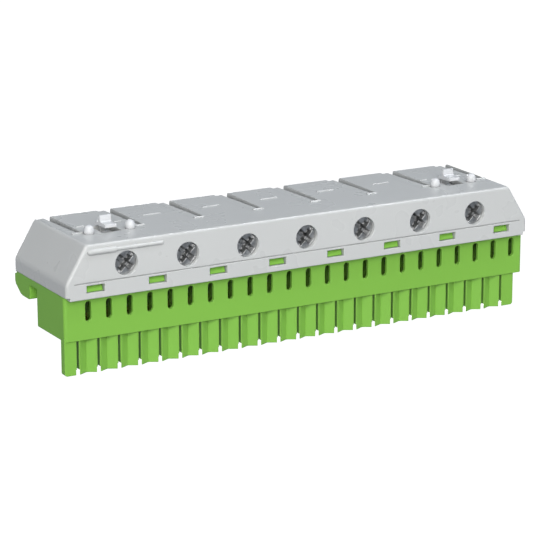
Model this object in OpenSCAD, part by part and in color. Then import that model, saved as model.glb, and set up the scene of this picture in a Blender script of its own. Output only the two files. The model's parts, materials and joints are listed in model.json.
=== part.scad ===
// Earth terminal bar: seven clamp-screw terminals and a row of push-in terminals
// in one moulded housing that hooks over the edge of a carrier rail.
//
// Millimetres. Everything is drawn in the housing's own axes: x along the bar from
// its middle, y back from the base's front face, z up from the parting plane between
// base and cover. to_rail() then moves it so that the origin is the middle of the
// rail groove's ceiling.

/* [Terminals] */
// Centre distance of the push-in terminals
pitch = 5.3; // [5.2:0.05:5.6]
// Number of clamp screws, one for every three push-in terminals
screw_count = 7; // [4:1:9]

/* [Cover] */
// Height of the cover above the parting plane
cover_h = 12.75; // [12.45:0.05:13.5]
// Height of the upright band round the cover's foot
band_h = 3.95; // [3.6:0.05:4.2]
// Lean of the end walls above the band, in degrees
end_lean = 31; // [20:1:33]
// Wall thickness of the cover
cover_wall = 1.6; // [1.4:0.1:1.6]
// Thickness of the cover's roof
roof_t = 2.1; // [2:0.1:2.3]
// Radius of the cover's upright corners
corner_r = 0.8; // [0.6:0.1:1.4]
// Diameter of the screw holes in the cover
screw_hole_d = 5.8; // [5.7:0.1:6.2]
// Depth of a roof groove at the back edge
groove_depth = 1.3; // [0.9:0.1:1.4]

/* [Base] */
// Depth of the base from front face to back edge
base_d = 27.3; // [26.5:0.1:28.5]
// Depth of the terminal box below the parting plane
box_d = 14.9; // [14.5:0.1:15.3]
// Height of the terminal box below the parting plane
box_h = 10.1; // [9.4:0.1:10.8]
// Thickness of the plate behind the box
plate_t = 0.9; // [0.8:0.1:1.3]
// Width of the groove that grips the carrier rail
rail_groove_w = 4.05; // [3.8:0.05:4.3]
// Depth of the hook rail below the parting plane
hook_h = 4.5; // [3.8:0.1:4.8]
// Height of a release slot
slot_h = 4.8; // [4.4:0.1:5.2]
// Width of a release slot
slot_w = 1.55; // [1.4:0.05:1.9]

/* [Comb] */
// Height of the comb below the terminal box
comb_h = 8.2; // [5:0.1:9]
// Thickness of the comb
comb_t = 1.8; // [1.7:0.05:2]
// Width of the slits between its fingers
slit_w = 0.6; // [0.5:0.05:0.8]
// Depth of the flute down the middle of a finger
flute_depth = 0.95; // [0.6:0.05:1]

/* [Conductor ports] */
// Diameter of a clamp-screw port
clamp_port_d = 5.8; // [5.4:0.1:5.8]
// Diameter of a push-in port
push_port_d = 3.6; // [3.2:0.1:3.7]

/* [Screws] */
// Outside diameter of a clamp screw
screw_d = 5.6; // [5.2:0.05:5.65]
// Depth of its driven end below the cover's face when the terminal is open
screw_recess = 1; // [0.6:0.1:1.3]

/* [Hidden] */
push_count = 3 * (screw_count + 1) - 1;

$fn = 48;
gap = 0.05;             // working clearance between pieces that sit in each other
slice_t = 0.01;         // thickness of the slices that the cover's body is hulled from
beyond = 1;             // how far a cutter runs past the face it cuts

module_w = 3 * pitch;
length = (screw_count + 1) * module_w - 1;
half = length / 2;

// Cover
edge_r = 0.6;           // round along the roof's edges
kink_r = 3;             // round where an end wall starts to lean
end_lift = 0.75;        // how much higher the end walls stop than the front wall
rim_t = 0.9;            // the base's raised rim that the end walls stop on
face_draft = 0.15;      // how far the front face leans back between band and roof
ceiling_z = cover_h - roof_t;
window_w = 4.6;
window_z = [1.4, 3.2];
groove_front = 9.3;     // y where the roof grooves end
groove_ramp = 2.6;      // degrees that a groove's floor rises towards the front
riser_shift = 0.36 * pitch;

// Clamp terminals
screw_z = 7.3;
clamp_y = 9.8;          // middle of a clamp-screw port
clamp_r = clamp_port_d / 2;
port_front = clamp_y - clamp_r;

// Pressure pads
pad_t = 1;
pad_w = 4.6;
pad_h = 5.6;
pad_seat = 0.6;         // depth of the blind hole that takes the screw's tip
tip_d = 2.4;
pad_y = port_front - gap - pad_t;

// Brass bar
bar_y = [2, box_d];
bar_z = [3.2, ceiling_z - 0.1];
bar_half = half - 6.5;
flange_y = [5.35, 6.25];
flange_z = -8;
passage_r = clamp_r + 0.25;
passage_front = pad_y - gap;    // an open terminal's pad stands clear of the port

// Push-in terminals
slot_shift = 1.4;      // slots sit this far to the right of the module grid
slot_z = [-0.9 - slot_h, -0.9];
push_y = 3.45;
cell_w = 4.4;
cell_floor = -8;
front_wall = 0.9;
strip_t = 0.35;
spring_w = 3.4;

// Comb
slit_shift = -1.32;     // slits sit this far to the left of the module grid
comb_y = 0.25;
comb_x = [-half + 0.1, half - 2.4];
notch_w = 1;
notch_h = 1.3;

// Clips
clip_plate = [14.9, 8.5, 0.8];
clip_y = 4.95;
peg_d = 2.35;
peg_rise = 2.1;
peg_x = 5.3;
peg_y = 7.95;
hook_w = 2.9;
clip_inset = 0.35;      // how far the clips sit inwards of the end screws
hook_shift = 0.2;       // the hook and its hole sit this far right of the clip's middle
hole_half_w = 2.45;
hole_y = [7, 13.4];

function screw_x(n) = (n - (screw_count + 1) / 2) * module_w;
function clip_x(n) = screw_x(n) + (n == 1 ? clip_inset : -clip_inset);
function grid_x(n) = (n - (push_count + 1) / 2) * pitch;
function slot_x(n) = grid_x(n) + slot_shift;
function slit_x(n) = grid_x(n) + slit_shift;
function window_x(n) = (n - (screw_count + 2) / 2) * module_w;
function push_name(n) = str("push_in_spring_", n < 10 ? "0" : "", n);
function arc(cx, cy, r, from, to, steps = 8) =
    [for (i = [0:steps]) let (a = from + (to - from) * i / steps) [cx + r * cos(a), cy + r * sin(a)]];

module to_rail() {
    translate([0, -box_d - rail_groove_w / 2, plate_t]) children();
}

// A profile drawn in x and z, run from y0 back to y1
module run_y(y0, y1) {
    translate([0, y1, 0]) rotate([90, 0, 0]) linear_extrude(y1 - y0) children();
}

// A profile drawn in y and z, run from x0 to x1
module run_x(x0, x1) {
    translate([x0, 0, 0]) rotate([90, 0, 90]) linear_extrude(x1 - x0) children();
}

// A box between two corners
module block(low, high) {
    translate(low) cube(high - low);
}

// A cylinder whose axis runs back along y
module bore_y(d, y0, y1) {
    translate([0, y0, 0]) rotate([-90, 0, 0]) cylinder(d = d, h = y1 - y0);
}

module rounded_plan(half_w, y0, y1, r) {
    translate([-half_w + r, y0 + r]) offset(r, $fn = 32) square([2 * (half_w - r), y1 - y0 - 2 * r]);
}

// ---- Cover ----

// Half length of the cover's outside at height z
function cover_half(z) = half - max(0, z - band_h) * tan(end_lean);

// A thin slice of the cover's outside whose top is at height z
module cover_slice(z, half_w, draft, inset) {
    translate([0, 0, z - slice_t]) linear_extrude(slice_t)
        rounded_plan(half_w - inset / 2, -cover_wall + draft + inset, base_d - inset, corner_r);
}

module cover_outside() {
    kink_z = band_h - kink_r * tan(end_lean / 2);
    hull() {
        linear_extrude(kink_z) rounded_plan(half, -cover_wall, base_d, corner_r);
        for (a = [1:5])
            let (turn = end_lean * a / 5)
            cover_slice(kink_z + kink_r * sin(turn), half - kink_r * (1 - cos(turn)), 0, 0);
        for (a = [0:22.5:90])
            let (z = cover_h - edge_r * (1 - sin(a)))
            cover_slice(z, cover_half(z), face_draft, edge_r * (1 - cos(a)));
    }
}

// What is taken off the foot of each end wall, so that it stops on the base's rim
module end_rebates() {
    for (side = [-1, 1]) translate([side * half, 0, 0])
        block([-rim_t - gap, -cover_wall - beyond, -beyond], [rim_t + gap, base_d + beyond, end_lift]);
}

// Fine groove near the top of the band, front and back
module band_line() {
    for (y = [-cover_wall, base_d])
        block([-half + 2.1, y - 0.14, band_h - 0.25], [half - 2.1, y + 0.14, band_h - 0.05]);
}

module cover_cavity() {
    slant = cover_wall / cos(end_lean);
    run_y(0, base_d - cover_wall) polygon([
        [-half + cover_wall, -beyond], [half - cover_wall, -beyond],
        [half - cover_wall, band_h], [cover_half(ceiling_z) - slant, ceiling_z],
        [-cover_half(ceiling_z) + slant, ceiling_z], [-half + cover_wall, band_h]
    ]);
}

// Cuts a profile into the roof from the back edge forwards, its depth shrinking by ramp degrees
module roof_cut(ramp) {
    translate([0, base_d, cover_h]) rotate([-ramp, 0, 0]) run_y(groove_front - base_d, beyond) children();
}

// One roof groove: upright riser on the right, a low hump, then a run-out to the left
module roof_groove() {
    roof_cut(groove_ramp) polygon([
        [0, beyond], [0, -groove_depth], [-0.45, -groove_depth], [-1.75, -0.3], [-1.75, beyond]
    ]);
    roof_cut(1.2) polygon([
        [0, beyond], [0, -0.4], [-1.9, -0.4], [-2.6, -0.5], [-3.2, -0.45], [-4, 0], [-4, beyond]
    ]);
}

// A low round-topped rib along x on the roof
module roof_rib(x, y, w, r) {
    translate([x - w / 2, y, cover_h]) rotate([0, 90, 0]) cylinder(r = r, h = w, $fn = 24);
}

module clip_seat(n) {
    translate([clip_x(n), 0, 0]) {
        block([-clip_plate[0] / 2 - gap, clip_y - gap, ceiling_z - beyond],
              [clip_plate[0] / 2 + gap, clip_y + clip_plate[1] + gap, ceiling_z + clip_plate[2] + 2 * gap]);
        block([hook_shift - hole_half_w, hole_y[0], ceiling_z],
              [hook_shift + hole_half_w, hole_y[1], cover_h + beyond]);
        for (side = [-1, 1]) translate([side * peg_x, peg_y, ceiling_z])
            cylinder(d = peg_d + 2 * gap, h = roof_t + beyond);
    }
}

// Strip-length gauge on the front face: insulated lead and bared conductor
module strip_gauge() {
    x0 = -half + 6.2;
    lead = 6.6;
    bare = 12;
    translate([x0, -cover_wall + face_draft, cover_h - 1.76]) rotate([0, 90, 0]) {
        sphere(d = 1.4, $fn = 24);
        cylinder(d = 1.4, h = lead, $fn = 24);
        cylinder(d = 0.9, h = lead + bare, $fn = 24);
    }
}

module cover() {
    color([0.80, 0.81, 0.81]) {
        difference() {
            cover_outside();
            cover_cavity();
            end_rebates();
            band_line();
            for (n = [1:screw_count])
                translate([screw_x(n), 0, screw_z]) bore_y(screw_hole_d, -cover_wall - beyond, beyond);
            for (n = [1:screw_count + 1]) {
                translate([window_x(n), 0, 0]) {
                    block([-window_w / 2, -cover_wall - beyond, window_z[0]],
                          [window_w / 2, beyond, window_z[1]]);
                    block([-window_w / 2, base_d - cover_wall - beyond, window_z[0]],
                          [window_w / 2, base_d + beyond, window_z[1]]);
                }
                translate([window_x(n) + riser_shift, 0, 0]) roof_groove();
            }
            clip_seat(1);
            clip_seat(screw_count);
        }
        for (n = [1:screw_count + 1])
            roof_rib(window_x(n) + riser_shift - 1.4, groove_front - 0.25, 2.7, 0.28);
        for (n = [2:screw_count - 1]) roof_rib(screw_x(n), 17.1, 4.7, 0.18);
        for (n = [1, screw_count], x = [-4.5, 5.2]) roof_rib(clip_x(n) + x, 14.6, 2, 0.22);
        strip_gauge();
    }
}

// ---- Base housing ----

// Terminal box in plan, with rounded front corners
module box_plan() {
    r = 0.8;
    polygon(concat(
        arc(-half + 0.1 + r, r, r, 180, 270), arc(half - 0.1 - r, r, r, 270, 360),
        [[half - 0.1, box_d], [-half + 0.1, box_d]]
    ));
}

// Terminal box seen from the front: its bottom corners are round
module box_front() {
    r = 0.4;
    bottom_half = half - 0.15;
    polygon(concat(
        arc(-bottom_half + r, -box_h + r, r, 180, 270), arc(bottom_half - r, -box_h + r, r, 270, 360),
        [[half - 0.1, 0], [-half + 0.1, 0]]
    ));
}

module terminal_box() {
    intersection() {
        translate([0, 0, -box_h]) linear_extrude(box_h) box_plan();
        run_y(0, box_d) box_front();
    }
}

// Plate behind the box and the hook that reaches round the carrier rail's edge
module hook_rail() {
    y0 = box_d + rail_groove_w;
    r = 0.5;
    run_x(-half + 0.1, half - 0.1) polygon(concat(
        [[box_d - beyond, 0], [box_d - beyond, -plate_t], [y0, -plate_t]],
        arc(y0 + r, -hook_h + r, r, 180, 270),
        [[base_d - 4.2, -hook_h], [base_d - 3, -hook_h + 0.3], [base_d - 0.4, -2.5], [base_d, -1.7]],
        [[base_d, 0]]
    ));
}

// Raised rim at each end, under the cover's end wall
module end_rims() {
    for (side = [-1, 1]) intersection() {
        linear_extrude(end_lift - gap) union() {
            box_plan();
            translate([0, base_d / 2]) square([length - 0.2, base_d - 2], center = true);
        }
        translate([side * half, 0, 0]) block([-rim_t, -beyond, -beyond], [rim_t, base_d, end_lift]);
    }
}

// Upstand inside the cover with a snap lug behind each window
module snap_wall(outer_y, back) {
    t = 1.14;
    lug = 1.2;
    lift = 4.2;
    side = back ? 1 : -1;
    w = window_w / 2 - 0.1;
    wall_y = outer_y - side * t / 2;
    translate([0, wall_y, lift / 2]) cube([2 * (half - 2.1), t, lift], center = true);
    for (n = [1:screw_count + 1])
        translate([window_x(n), outer_y, 0]) intersection() {
            run_x(-window_w, window_w) polygon([
                [-side * t / 2, window_z[0] + 0.1], [side * (lug - 0.15), window_z[0] + 0.1],
                [side * lug, window_z[0] + 0.3], [side * 0.2, window_z[1] - 0.1],
                [-side * t / 2, window_z[1] - 0.1]
            ]);
            linear_extrude(cover_h) polygon([
                [-w, -side * t], [-w, side * 0.2], [-w + 0.25, side * lug],
                [w - 0.25, side * lug], [w, side * 0.2], [w, -side * t]
            ]);
        }
}

module comb() {
    z0 = -box_h - comb_h;
    r = 0.7;
    difference() {
        run_y(comb_y, comb_y + comb_t) polygon(concat(
            arc(comb_x[0] + r, z0 + r, r, 180, 270), arc(comb_x[1] - r, z0 + r, r, 270, 360),
            [[comb_x[1], -box_h + beyond], [comb_x[0], -box_h + beyond]]
        ));
        for (n = [1:push_count]) translate([slit_x(n), 0, z0 - beyond]) {
            block([-slit_w / 2, 0, 0], [slit_w / 2, 3, comb_h + beyond]);
            linear_extrude(notch_h + beyond) notch_plan();
        }
        for (n = [1:push_count - 1]) translate([slit_x(n) + pitch / 2, comb_y, z0 - beyond])
            linear_extrude(comb_h + beyond) flute_plan();
    }
}

// Notch where a slit ends between two fingertips: it flares towards the back
module notch_plan() {
    flare = 1.1;
    translate([0, comb_y]) polygon([
        [-notch_w / 2, -beyond], [notch_w / 2, -beyond], [notch_w / 2, 0.15],
        [notch_w / 2 + flare, comb_t + 0.1], [-notch_w / 2 - flare, comb_t + 0.1], [-notch_w / 2, 0.15]
    ]);
}

// Flute in a comb finger: two slopes that meet in a narrow round
module flute_plan() {
    w = pitch / 2 - 0.62;
    r = 0.5;
    slope = atan2(flute_depth, w);
    polygon(concat(
        [[w, 0], [w, -beyond], [-w, -beyond], [-w, 0]],
        arc(0, flute_depth - r / cos(slope) + 0.1, r, 90 + slope, 90 - slope, 6)
    ));
}

// A port up through the box's floor with a funnel mouth
module port(d, mouth_d, top_z) {
    translate([0, 0, -box_h - beyond]) cylinder(d = d, h = top_z + box_h + beyond);
    translate([0, 0, -box_h]) cylinder(d1 = mouth_d, d2 = d, h = 0.7);
}

module release_slot() {
    for (z = [slot_z[0] + slot_w / 2, slot_z[1] - slot_w / 2])
        translate([0, 0, z]) bore_y(slot_w, -beyond, front_wall + gap);
    block([-slot_w / 2, -beyond, slot_z[0] + slot_w / 2],
          [slot_w / 2, front_wall + gap, slot_z[1] - slot_w / 2]);
}

module base_housing() {
    color([0.45, 0.75, 0.20]) {
        difference() {
            union() {
                terminal_box();
                hook_rail();
                end_rims();
                // seat under the brass bar
                block([-bar_half, flange_y[1] + gap, -plate_t], [bar_half, box_d, bar_z[0] - gap]);
            }
            // one open-topped cell for each spring, and a slot along them for the bar's flange
            for (n = [1:push_count]) translate([slot_x(n), 0, 0]) {
                block([-cell_w / 2, front_wall, cell_floor], [cell_w / 2, flange_y[0], beyond]);
                release_slot();
                translate([0, push_y, 0]) port(push_port_d, push_port_d + 0.6, cell_floor + gap);
            }
            block([slot_x(1) - cell_w / 2, flange_y[0] - gap, flange_z - gap],
                  [slot_x(push_count) + cell_w / 2, flange_y[1] + gap, beyond]);
            for (n = [1:screw_count]) translate([screw_x(n), clamp_y, 0])
                port(clamp_port_d, clamp_port_d + 0.5, bar_z[0] + beyond);
        }
        snap_wall(gap, false);
        snap_wall(base_d - cover_wall - gap, true);
        comb();
    }
}

// ---- Metal inside ----

// Way through the bar for one conductor: flat towards the screw, round at the back
module conductor_passage() {
    z0 = bar_z[0] - beyond;
    translate([0, clamp_y, z0]) cylinder(r = passage_r, h = bar_z[1] + beyond - z0);
    block([-passage_r, passage_front, z0], [passage_r, clamp_y, bar_z[1] + beyond]);
}

module earth_bar() {
    color([0.83, 0.68, 0.32]) difference() {
        union() {
            block([-bar_half, bar_y[0], bar_z[0]], [bar_half, bar_y[1], bar_z[1]]);
            block([slot_x(1) - cell_w / 2 + 0.5, flange_y[0], flange_z],
                  [slot_x(push_count) + cell_w / 2 - 0.5, flange_y[1], bar_z[0] + gap]);
        }
        for (n = [1:screw_count]) translate([screw_x(n), 0, 0]) {
            conductor_passage();
            translate([0, 0, screw_z]) bore_y(screw_d + 2 * gap, bar_y[0] - beyond, passage_front + gap);
        }
    }
}

// Clamp screw: slot and cross recess at the driven end, small tip that the pad is swaged on
module clamp_screw(n) {
    y0 = -cover_wall + screw_recess;
    color([0.45, 0.46, 0.47]) translate([screw_x(n), 0, screw_z]) difference() {
        union() {
            bore_y(screw_d, y0, pad_y - gap);
            bore_y(tip_d, y0, pad_y + pad_seat - gap);
        }
        translate([0, y0, 0]) rotate([-90, 0, 0]) rotate(-48) {
            translate([0, 0, -beyond]) linear_extrude(beyond + 0.5) square([screw_d + 1, 1], center = true);
            for (turn = [0, 90]) rotate(turn) {
                linear_extrude(1.2, scale = [0.7, 0.5]) square([4.7, 1.5], center = true);
                linear_extrude(2, scale = 0.5) square([2.9, 1.5], center = true);
            }
        }
    }
}

// Pressure pad: slides in the passage without turning, with a shallow vee for the conductor
module pressure_pad(n) {
    r = 0.8;
    color([0.70, 0.71, 0.72]) translate([screw_x(n), 0, screw_z]) difference() {
        run_y(pad_y, pad_y + pad_t) offset(r) square([pad_w - 2 * r, pad_h - 2 * r], center = true);
        bore_y(tip_d + 2 * gap, pad_y - beyond, pad_y + pad_seat);
        translate([0, pad_y + pad_t + 0.45, 0]) rotate([0, 0, 45]) cube([1, 1, pad_h + 1], center = true);
    }
}

// Push-in spring: a leaf with a windowed front leg, a loop, and a leg that bites the conductor
module push_in_spring(n) {
    y0 = front_wall + gap;
    foot = cell_floor + 2 * gap;
    loop_r = 1.2;
    loop_z = -0.8;
    lean = 20;
    t = strip_t;
    cy = y0 + loop_r;
    reach = 4.9;
    tip = [cy + loop_r * cos(lean) + reach * sin(lean), loop_z + loop_r * sin(lean) - reach * cos(lean)];
    color([0.78, 0.78, 0.76]) translate([slot_x(n), 0, 0]) difference() {
        run_x(-spring_w / 2, spring_w / 2) polygon(concat(
            [[y0, foot]], arc(cy, loop_z, loop_r, 180, lean, 14), [tip],
            [[tip[0] - t * cos(lean), tip[1] - t * sin(lean)]],
            arc(cy, loop_z, loop_r - t, lean, 180, 14), [[y0 + t, foot]]
        ));
        block([-slot_w / 2 - 0.1, y0 - beyond, slot_z[0] - 0.4], [slot_w / 2 + 0.1, y0 + t + 0.1, loop_z]);
    }
}

// ---- Clips ----

// Side view of the sprung hook above the roof: tongue, nose towards the front and a heel behind
module hook_profile() {
    polygon([
        [13.2, cover_h + 0.5], [13.2, cover_h + 1.1], [12.9, cover_h + 1.35], [11.5, cover_h + 1.5],
        [11.5, cover_h + 3], [11.3, cover_h + 3.15], [10.8, cover_h + 3.15], [10.6, cover_h + 3],
        [10.5, cover_h + 1.85], [10.2, cover_h + 1.6], [8, cover_h + 1.55], [7.6, cover_h + 1.35],
        [7.6, cover_h + 0.8], [10.2, cover_h + 0.65]
    ]);
}

module clip(n) {
    z0 = ceiling_z + gap;
    color([0.95, 0.96, 0.96]) translate([clip_x(n), 0, 0]) {
        difference() {
            translate([-clip_plate[0] / 2, clip_y, z0]) cube(clip_plate);
            block([hook_shift - hole_half_w - 0.8, hole_y[0] - 0.8, z0 - beyond],
                  [hook_shift + hole_half_w + 0.8, 12.2, z0 + beyond]);
        }
        translate([hook_shift, 0, 0]) {
            run_x(-hook_w / 2, hook_w / 2) hook_profile();
            block([-0.6, 12.2, z0], [0.6, 13.1, cover_h + 0.8]);
        }
        for (side = [-1, 1]) translate([side * peg_x, peg_y, z0]) {
            straight = roof_t - gap + peg_rise - peg_d / 2;
            cylinder(d = peg_d, h = straight);
            translate([0, 0, straight]) sphere(d = peg_d);
        }
    }
}

module clip_left() clip(1);
module clip_right() clip(screw_count);

to_rail() cover();
to_rail() base_housing();
to_rail() earth_bar();
to_rail() clip_left();
to_rail() clip_right();
for (n = [1:screw_count]) {
    to_rail() clamp_screw(n);
    to_rail() pressure_pad(n);
}
for (n = [1:push_count])
    to_rail() push_in_spring(n);
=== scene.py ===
import json
import math

import bmesh
import bpy
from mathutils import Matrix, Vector

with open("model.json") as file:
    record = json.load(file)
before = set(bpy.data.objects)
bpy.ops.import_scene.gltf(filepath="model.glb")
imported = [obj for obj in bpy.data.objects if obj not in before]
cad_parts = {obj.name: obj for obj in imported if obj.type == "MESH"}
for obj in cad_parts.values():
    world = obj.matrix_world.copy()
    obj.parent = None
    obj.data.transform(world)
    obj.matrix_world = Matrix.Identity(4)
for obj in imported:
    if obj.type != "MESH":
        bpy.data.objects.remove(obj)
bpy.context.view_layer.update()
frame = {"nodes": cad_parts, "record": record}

MM = 0.001

# Stretches of a noise that are spread over its whole range: the shorter, the harder the pattern's edges
SOFT = (0.2, 0.8)
CRISP = (0.3, 0.7)
PATCHY = (0.35, 0.65)

# Stage and lights, in metres
STAGE_REACH = 3.0
FLOOR_Z = -1.0                  # low enough to look at the bar from below
LIGHT_DISTANCE = 1.2

# Camera
AZIMUTH = -29.173               # degrees round from the front
ELEVATION = 15.471              # degrees up
LENS = 177.69                   # mm, on a sensor of SENSOR_W
SENSOR_W = 36
EYE = (-306.351, -549.228, 169.691)     # mm
CLIP = (0.01, 20)               # metres


# ---- Node helpers ----

class Shader:
    """A material's node tree, with short calls for the nodes that the finishes share."""

    def __init__(self, name):
        self.material = bpy.data.materials.new(name)
        self.material.use_nodes = True
        self.tree = self.material.node_tree
        self.surface = self.tree.nodes["Principled BSDF"]
        self.place = self.add("ShaderNodeTexCoord").outputs["Object"]

    def add(self, kind, **settings):
        node = self.tree.nodes.new(kind)
        for key, value in settings.items():
            setattr(node, key, value)
        return node

    def join(self, source, target):
        self.tree.links.new(source, target)

    def noise(self, size_mm, detail, stretch=(1, 1, 1)):
        """Noise with features of about size_mm, drawn out along an axis where stretch is under 1."""
        mapping = self.add("ShaderNodeMapping")
        mapping.inputs["Scale"].default_value = stretch
        self.join(self.place, mapping.inputs["Vector"])
        node = self.add("ShaderNodeTexNoise")
        node.inputs["Scale"].default_value = 1 / (size_mm * MM)
        node.inputs["Detail"].default_value = detail
        self.join(mapping.outputs["Vector"], node.inputs["Vector"])
        return node.outputs["Fac"]

    def between(self, factor, low, high, span):
        """Maps factor from span, a pair, to low..high."""
        node = self.add("ShaderNodeMapRange")
        self.join(factor, node.inputs["Value"])
        node.inputs["From Min"].default_value = span[0]
        node.inputs["From Max"].default_value = span[1]
        node.inputs["To Min"].default_value = low
        node.inputs["To Max"].default_value = high
        return node.outputs["Result"]

    def blend_colours(self, factor, first, second):
        node = self.add("ShaderNodeMix", data_type="RGBA")
        self.join(factor, node.inputs["Factor"])
        node.inputs["A"].default_value = (*first, 1)
        node.inputs["B"].default_value = (*second, 1)
        return node.outputs["Result"]

    def set(self, **values):
        """Constants on the surface's sockets, with _ for each space in a socket's name."""
        for key, value in values.items():
            self.surface.inputs[key.replace("_", " ")].default_value = value

    def colour(self, source, shade=0.4, reach_mm=1.5, own_walls_only=True):
        """The surface's colour with painted shade: multiplied by shade inside narrow slots and corners,
        where ambient occlusion finds walls close by.
        """
        # painted shade: the colour is darkened where ambient occlusion meets walls within reach_mm; with
        # own_walls_only off, other parts' walls count too
        corner_shade = self.add("ShaderNodeAmbientOcclusion", samples=8, only_local=own_walls_only)
        corner_shade.inputs["Distance"].default_value = reach_mm * MM
        openness = self.between(corner_shade.outputs["AO"], 0, 1, SOFT)
        painted_shade = self.blend_colours(openness, (shade, shade, shade), (1, 1, 1))
        multiply = self.add("ShaderNodeMix", data_type="RGBA", blend_type="MULTIPLY")
        multiply.inputs["Factor"].default_value = 1.0
        self.join(source, multiply.inputs["A"])
        self.join(painted_shade, multiply.inputs["B"])
        self.join(multiply.outputs["Result"], self.surface.inputs["Base Color"])

    def roughness(self, source):
        self.join(source, self.surface.inputs["Roughness"])

    def relief(self, height, depth_mm, edge_mm):
        """Bump from height, over edges rounded by edge_mm."""
        bevel = self.add("ShaderNodeBevel", samples=6)
        bevel.inputs["Radius"].default_value = edge_mm * MM
        bump = self.add("ShaderNodeBump")
        bump.inputs["Strength"].default_value = 1.0
        bump.inputs["Distance"].default_value = depth_mm * MM
        self.join(height, bump.inputs["Height"])
        self.join(bevel.outputs["Normal"], bump.inputs["Normal"])
        self.join(bump.outputs["Normal"], self.surface.inputs["Normal"])


def scaled(colour, factor):
    return tuple(c * factor for c in colour)


# ---- Finishes ----

def moulded_plastic(name, colour, roughness, edge_mm, gloss=0.5, **corner_shade):
    """Injection-moulded plastic: a polished mould's slight waviness and faint flow shading."""
    s = Shader(name)
    flow = s.between(s.noise(14, 2, (0.35, 1, 1)), 0, 1, SOFT)
    # colour() adds painted shade in slots and corners to this plastic's colour
    s.colour(s.blend_colours(flow, scaled(colour, 0.975), scaled(colour, 1.02)), **corner_shade)
    s.roughness(s.between(s.noise(8, 2), roughness - 0.02, roughness + 0.02, SOFT))
    s.relief(s.noise(6, 2), 0.001, edge_mm)
    s.set(Specular_IOR_Level=gloss)
    return s.material


def zinc_steel(name, colour, roughness, edge_mm):
    """Plated steel: worn in patches, with a fine grain drawn out along the screw's axis."""
    s = Shader(name)
    patches = s.between(s.noise(1.2, 5), 0, 1, PATCHY)
    # colour() adds painted shade in slots and corners to the plated steel's colour
    s.colour(s.blend_colours(patches, scaled(colour, 0.75), scaled(colour, 1.25)))
    s.roughness(s.between(s.noise(0.4, 4), roughness - 0.08, roughness + 0.1, CRISP))
    s.relief(s.noise(0.5, 2, (1, 0.3, 1)), 0.006, edge_mm)
    s.set(Metallic=1.0)
    return s.material


def drawn_metal(name, line_mm, stretch, dark, light, roughness, depth_mm, edge_mm):
    """Metal drawn or rolled to shape: fine lines along it, seen in its colour, gloss and relief."""
    s = Shader(name)
    lines = s.noise(line_mm, 3, stretch)
    # colour() adds painted shade in slots and corners to the drawn metal's colour
    s.colour(s.blend_colours(s.between(lines, 0, 1, CRISP), dark, light))
    s.roughness(s.between(lines, *roughness, CRISP))
    s.relief(lines, depth_mm, edge_mm)
    s.set(Metallic=1.0)
    return s.material


def finishes():
    """The record's material slots and what each is made of."""
    return {
        "cover": moulded_plastic("light_grey_plastic", (0.58, 0.59, 0.58), 0.28, 0.3),
        "base": moulded_plastic("yellow_green_plastic", (0.222, 0.495, 0.069), 0.36, 0.2, gloss=0.35),
        # painted shade: the white clip is darkened strongly where the cover's walls close round it, as in
        # the hole under its hook
        "clip": moulded_plastic("white_plastic", (0.66, 0.67, 0.68), 0.28, 0.12,
                                shade=0.15, reach_mm=1.2, own_walls_only=False),
        "screw": zinc_steel("dark_zinc_steel", (0.49, 0.495, 0.495), 0.36, 0.15),
        "pad": zinc_steel("zinc_steel", (0.45, 0.45, 0.46), 0.34, 0.12),
        "brass": drawn_metal("drawn_brass", 0.3, (0.04, 1, 1), (0.42, 0.3, 0.12), (0.55, 0.4, 0.18),
                             (0.22, 0.38), 0.006, 0.15),
        "spring": drawn_metal("stainless_spring", 0.2, (1, 0.1, 0.1), (0.46, 0.46, 0.45), (0.58, 0.58, 0.57),
                              (0.2, 0.34), 0.004, 0.05),
    }


def dress_cad_nodes(materials):
    slots = {part["node"]: part["material_slot"] for part in frame["record"]["subparts"]}
    for name, node in frame["nodes"].items():
        node.data.materials.clear()
        node.data.materials.append(materials[slots[name]])


# ---- Stage ----

def white_light_table(name):
    s = Shader(name)
    s.set(Base_Color=(0.2, 0.2, 0.2, 1), Roughness=0.9, Emission_Color=(1, 1, 1, 1), Emission_Strength=1.0)
    return s.material


def show_as_background(stage_piece, material):
    """The white stage is a plain background: it throws no light or shadow on the bar."""
    stage_piece.data.materials.append(material)
    stage_piece.visible_diffuse = False
    stage_piece.visible_glossy = False
    stage_piece.visible_transmission = False
    stage_piece.visible_shadow = False
    bpy.context.scene.collection.objects.link(stage_piece)


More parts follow.
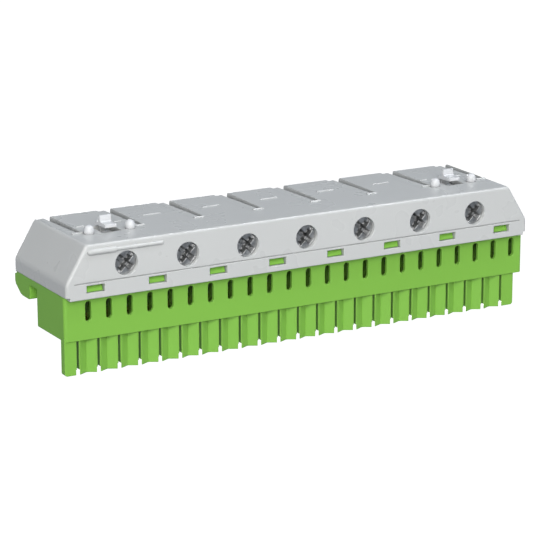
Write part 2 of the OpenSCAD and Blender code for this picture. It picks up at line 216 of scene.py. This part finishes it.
def add_stage(reach, floor_z):
    """A white floor, and a white backdrop all round."""
    material = white_light_table("white_stage")
    corner_shade = [(x * reach, y * reach, floor_z) for x, y in ((-1, -1), (1, -1), (1, 1), (-1, 1))]
    floor = bpy.data.meshes.new("floor")
    floor.from_pydata(corner_shade, [], [(0, 1, 2, 3)])
    show_as_background(bpy.data.objects.new("floor", floor), material)
    backdrop = bpy.data.meshes.new("backdrop")
    dome = bmesh.new()
    bmesh.ops.create_uvsphere(dome, u_segments=32, v_segments=16, radius=reach)
    dome.to_mesh(backdrop)
    dome.free()
    show_as_background(bpy.data.objects.new("backdrop", backdrop), material)


def add_light(name, size, power, direction, colour=(1, 1, 1)):
    """A round lamp that shines on the bar from LIGHT_DISTANCE away."""
    light = bpy.data.lights.new(name, "AREA")
    light.shape = "DISK"
    light.size = size
    light.energy = power
    light.color = colour
    lamp = bpy.data.objects.new(name, light)
    lamp.location = Vector(direction).normalized() * LIGHT_DISTANCE
    lamp.rotation_mode = "QUATERNION"
    lamp.rotation_quaternion = Vector(direction).to_track_quat("Z", "Y")
    bpy.context.scene.collection.objects.link(lamp)


def light_studio():
    """A dim room, a soft key in front on the left, a small softbox above on the right, a fill behind."""
    world = bpy.data.worlds.new("studio")
    world.use_nodes = True
    background = world.node_tree.nodes["Background"]
    background.inputs["Color"].default_value = (0.92, 1.0, 1.12, 1)
    background.inputs["Strength"].default_value = 0.24
    bpy.context.scene.world = world
    add_light("key", 1.3, 17.5, (-0.4, -0.75, 0.41), (1, 0.985, 0.965))
    add_light("softbox", 0.25, 4.4, (0.47, -0.27, 0.84), (0.95, 1, 1.08))
    add_light("back_fill", 0.5, 6.0, (0.3, 0.93, -0.2))


def place_camera():
    """A long lens from the front left."""
    azimuth = math.radians(AZIMUTH)
    elevation = math.radians(ELEVATION)
    back = Vector((math.sin(azimuth) * math.cos(elevation), -math.cos(azimuth) * math.cos(elevation),
                   math.sin(elevation)))
    camera = bpy.data.cameras.new("camera")
    camera.sensor_width = SENSOR_W
    camera.lens = LENS
    camera.clip_start, camera.clip_end = CLIP
    eye = bpy.data.objects.new("camera", camera)
    eye.location = Vector(EYE) * MM
    eye.rotation_mode = "QUATERNION"
    eye.rotation_quaternion = (-back).to_track_quat("-Z", "Y")
    bpy.context.scene.collection.objects.link(eye)
    bpy.context.scene.camera = eye


bpy.context.scene.view_settings.view_transform = "Standard"
place_camera()
light_studio()
add_stage(STAGE_REACH, FLOOR_Z)
dress_cad_nodes(finishes())
